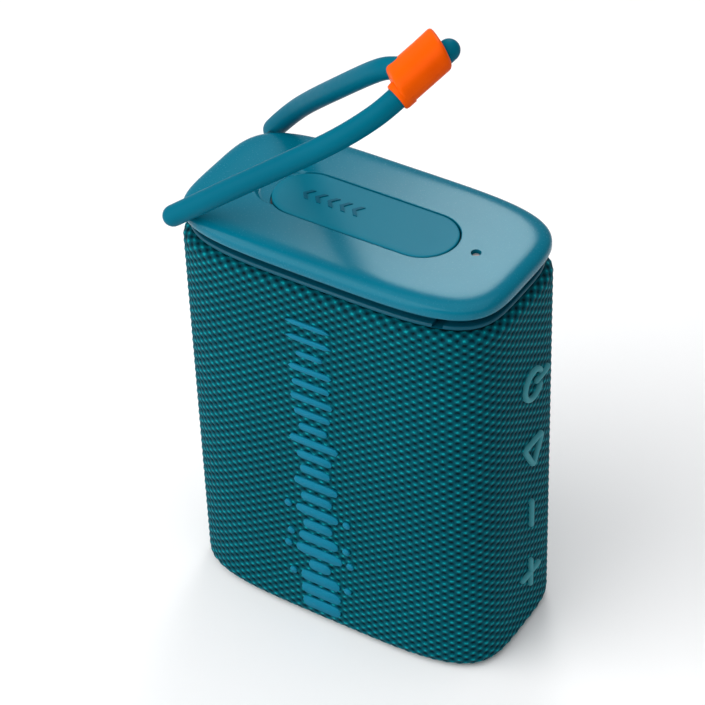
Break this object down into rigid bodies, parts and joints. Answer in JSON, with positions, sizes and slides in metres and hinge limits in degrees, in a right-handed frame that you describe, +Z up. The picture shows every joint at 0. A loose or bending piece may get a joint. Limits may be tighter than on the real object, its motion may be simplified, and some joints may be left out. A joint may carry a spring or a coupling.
{
  "type": "portable bluetooth speaker",
  "caption": "Small upright speaker: a fabric-wrapped rounded box with a plastic cap, a port flap, keys on one end and a carry loop.",
  "frame": {"origin": "middle of the foot's underside, on the surface that the speaker stands on", "axes": "+Z up, +X towards the end with the keys, -Y towards the front with the drive unit"},
  "size_m": [0.0808, 0.0465, 0.15],
  "materials": {
    "teal_plastic": "satin moulded",
    "woven_fabric": "coarse bead-like weave",
    "silicone": "smooth matt",
    "orange_plastic": "smooth satin",
    "rubber": "matt",
    "button_rubber": "matt",
    "black_plastic": "fine texture",
    "steel": "plated",
    "black_component": "moulded",
    "ferrite": "sintered",
    "foam_and_rubber": "matt",
    "pulp": "pressed paper",
    "copper": "enamelled winding",
    "circuit_board": "solder mask",
    "cell_wrap": "shrink wrap",
    "clear_plastic": "polished",
    "lead_jacket": "smooth"
  },
  "bodies": {
    "speaker": {"amplifier_chip": "black_component", "aux_jack": "black_component", "base_foot": "rubber", "base_plate": "black_plastic", "base_screw_1": "steel", "base_screw_2": "steel", "base_screw_3": "steel", "base_screw_4": "steel", "battery_cell": "cell_wrap", "battery_cradle": "black_plastic", "battery_lead": "lead_jacket", "button_board": "circuit_board", "cap_screw_1": "steel", "cap_screw_2": "steel", "cap_screw_3": "steel", "cap_screw_4": "steel", "driver_basket": "steel", "driver_gasket": "foam_and_rubber", "driver_grille": "black_plastic", "driver_magnet": "ferrite", "driver_spider": "foam_and_rubber", "driver_surround": "foam_and_rubber", "driver_top_plate": "steel", "driver_yoke": "steel", "fabric_sleeve": "woven_fabric", "front_housing": "black_plastic", "light_pipe": "clear_plastic", "main_board": "circuit_board", "microphone": "steel", "neck_collar": "teal_plastic", "port_tray": "black_plastic", "radiator_frame": "black_plastic", "radiator_surround": "foam_and_rubber", "radio_module": "steel", "rear_housing": "black_plastic", "speaker_lead": "lead_jacket", "status_led": "clear_plastic", "switch_play": "black_component", "switch_power": "black_component", "switch_volume_down": "black_component", "switch_volume_up": "black_component", "top_cap": "teal_plastic", "usb_c_port": "steel"},
    "loop": {"carry_loop": "silicone", "loop_keeper": "orange_plastic"},
    "flap": {"port_flap": "teal_plastic", "flap_seal": "rubber"},
    "cone": {"driver_cone": "pulp", "driver_dust_cap": "pulp", "voice_coil": "copper"},
    "radiator": {"radiator_plate": "steel"},
    "key_power": {"button_power": "button_rubber"},
    "key_play": {"button_play": "button_rubber"},
    "key_volume_down": {"button_volume_down": "button_rubber"},
    "key_volume_up": {"button_volume_up": "button_rubber"}
  },
  "joints": [
    {"name": "loop_swing", "type": "hinge", "parent": "speaker", "child": "loop", "pos_m": [-0.0357, 0, 0.1025], "axis": [0, -1, 0], "range_deg": [0, 185]},
    {"name": "flap_open", "type": "hinge", "parent": "speaker", "child": "flap", "pos_m": [0.0222, 0, 0.105], "axis": [0, 1, 0], "range_deg": [0, 24]},
    {"name": "power_press", "type": "slide", "parent": "speaker", "child": "key_power", "axis": [-1, 0, 0], "range_m": [0, 0.0005], "stiffness_N_per_m": 3000},
    {"name": "play_press", "type": "slide", "parent": "speaker", "child": "key_play", "axis": [-1, 0, 0], "range_m": [0, 0.0005], "stiffness_N_per_m": 3000},
    {"name": "volume_down_press", "type": "slide", "parent": "speaker", "child": "key_volume_down", "axis": [-1, 0, 0], "range_m": [0, 0.0005], "stiffness_N_per_m": 3000},
    {"name": "volume_up_press", "type": "slide", "parent": "speaker", "child": "key_volume_up", "axis": [-1, 0, 0], "range_m": [0, 0.0005], "stiffness_N_per_m": 3000},
    {"name": "cone_travel", "type": "slide", "parent": "speaker", "child": "cone", "axis": [0, -1, 0], "range_m": [-0.0015, 0.0015], "stiffness_N_per_m": 1500},
    {"name": "radiator_travel", "type": "slide", "parent": "speaker", "child": "radiator", "axis": [0, 1, 0], "range_m": [-0.002, 0.002], "stiffness_N_per_m": 1000}
  ]
}
